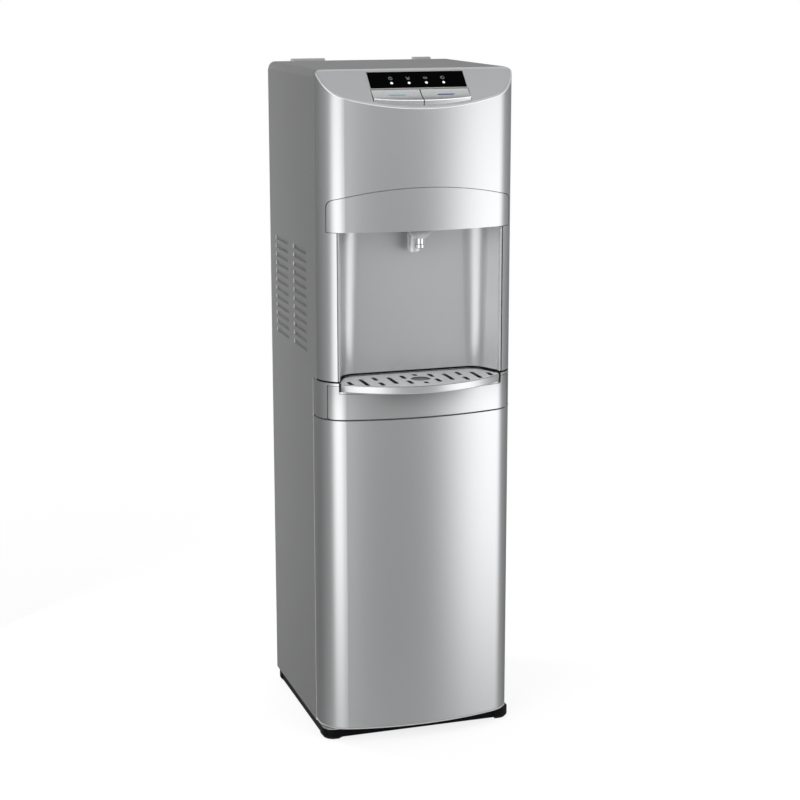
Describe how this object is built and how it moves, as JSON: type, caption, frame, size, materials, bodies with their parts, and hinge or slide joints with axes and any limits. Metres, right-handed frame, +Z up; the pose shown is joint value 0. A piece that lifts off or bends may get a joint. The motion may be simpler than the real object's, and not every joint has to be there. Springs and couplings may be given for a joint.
{
  "type": "water dispenser",
  "caption": "Tall floor-standing water dispenser: sloped key panel, spout in an alcove over a pull-out drip tray, and a hinged lower door on a bottle bay.",
  "frame": {"origin": "floor under the middle of the object's box, midway between the tray's lip and the rear edge", "axes": "+Z up, +X to the right as seen from the front, the front faces -Y"},
  "size_m": [0.329, 0.378, 1.104],
  "materials": {
    "fascia_silver": "metallic silver paint, satin",
    "panel_silver": "silver powder coat on steel sheet",
    "alcove_silver": "metallic silver, satin",
    "deck_silver": "metallic silver, fine satin",
    "key_silver": "metallic silver, satin",
    "stripe_cold": "teal inlay",
    "stripe_ambient": "blue-violet inlay",
    "display_black": "smoked acrylic",
    "lens_white": "clear white light guide",
    "lip_bright": "polished silver",
    "grille_grey": "satin grey moulding",
    "spout_grey": "satin grey moulding",
    "spout_bright": "bright plated",
    "clip_grey": "light grey moulding",
    "base_black": "black moulded plastic",
    "rubber_black": "soft black",
    "zinc_sheet": "galvanised steel sheet",
    "bright_steel": "zinc-plated steel",
    "black_enamel": "black enamel",
    "copper_tube": "bare copper",
    "white_moulding": "white moulded plastic",
    "grey_moulding": "light grey moulded plastic",
    "dark_moulding": "dark moulded plastic",
    "board_green": "solder-masked laminate",
    "foam_white": "expanded foam"
  },
  "bodies": {
    "cabinet": {"base_frame": "base_black", "foot_pads": "rubber_black", "bay_floor": "zinc_sheet", "side_panel_left": "panel_silver", "side_panel_right": "panel_silver", "top_panel": "panel_silver", "rear_panel": "zinc_sheet", "rear_clip_left": "clip_grey", "rear_clip_right": "clip_grey", "rear_screws": "bright_steel", "cord_gland": "rubber_black", "drain_plug": "white_moulding", "condenser_coil": "black_enamel", "condenser_wires": "black_enamel", "condenser_posts": "dark_moulding", "lower_collar": "fascia_silver", "tray_bezel": "fascia_silver", "joint_gasket": "rubber_black", "alcove_liner": "alcove_silver", "apron_panel": "fascia_silver", "upper_fascia": "fascia_silver", "control_panel": "deck_silver", "display_window": "display_black", "indicator_lenses": "lens_white", "control_board": "board_green", "key_switches": "dark_moulding", "spout_hood": "spout_grey", "spout_nozzle": "spout_bright", "splash_guard": "spout_grey", "cold_valve": "white_moulding", "ambient_valve": "white_moulding", "lower_hinge": "bright_steel", "upper_hinge": "bright_steel", "magnet_catch": "dark_moulding", "compressor_deck": "zinc_sheet", "compressor_grommets": "rubber_black", "compressor": "black_enamel", "relay_cover": "dark_moulding", "filter_drier": "copper_tube", "power_module": "white_moulding", "water_pump": "white_moulding", "tank_shelf": "zinc_sheet", "cold_tank": "bright_steel", "tank_insulation": "foam_white", "evaporator_coil": "copper_tube", "probe_clip": "white_moulding", "bottle_probe": "bright_steel", "probe_cap": "white_moulding"},
    "door": {"door_skin": "fascia_silver", "door_inner": "grey_moulding", "hinge_bushes": "white_moulding", "strike_plate": "bright_steel"},
    "cold_key": {"key_left": "key_silver", "key_left_stripe": "stripe_cold"},
    "ambient_key": {"key_right": "key_silver", "key_right_stripe": "stripe_ambient"},
    "tray": {"drip_tray": "lip_bright"},
    "grille": {"drip_grille": "grille_grey", "spill_sieve": "spout_grey"}
  },
  "joints": [
    {"name": "door_hinge", "type": "hinge", "parent": "cabinet", "child": "door", "pos_m": [0.153, -0.10869, 0.0205], "axis": [0, 0, 1], "range_deg": [0, 105]},
    {"name": "cold_key_press", "type": "slide", "parent": "cabinet", "child": "cold_key", "axis": [0, 0.7071, -0.7071], "range_m": [0, 0.002], "stiffness_N_per_m": 600, "springref_m": -0.002},
    {"name": "ambient_key_press", "type": "slide", "parent": "cabinet", "child": "ambient_key", "axis": [0, 0.7071, -0.7071], "range_m": [0, 0.002], "stiffness_N_per_m": 600, "springref_m": -0.002},
    {"name": "tray_slide", "type": "slide", "parent": "cabinet", "child": "tray", "axis": [0, -1, 0], "range_m": [0, 0.12]},
    {"name": "grille_lift", "type": "slide", "parent": "tray", "child": "grille", "axis": [0, 0, 1], "range_m": [0, 0.04]}
  ]
}
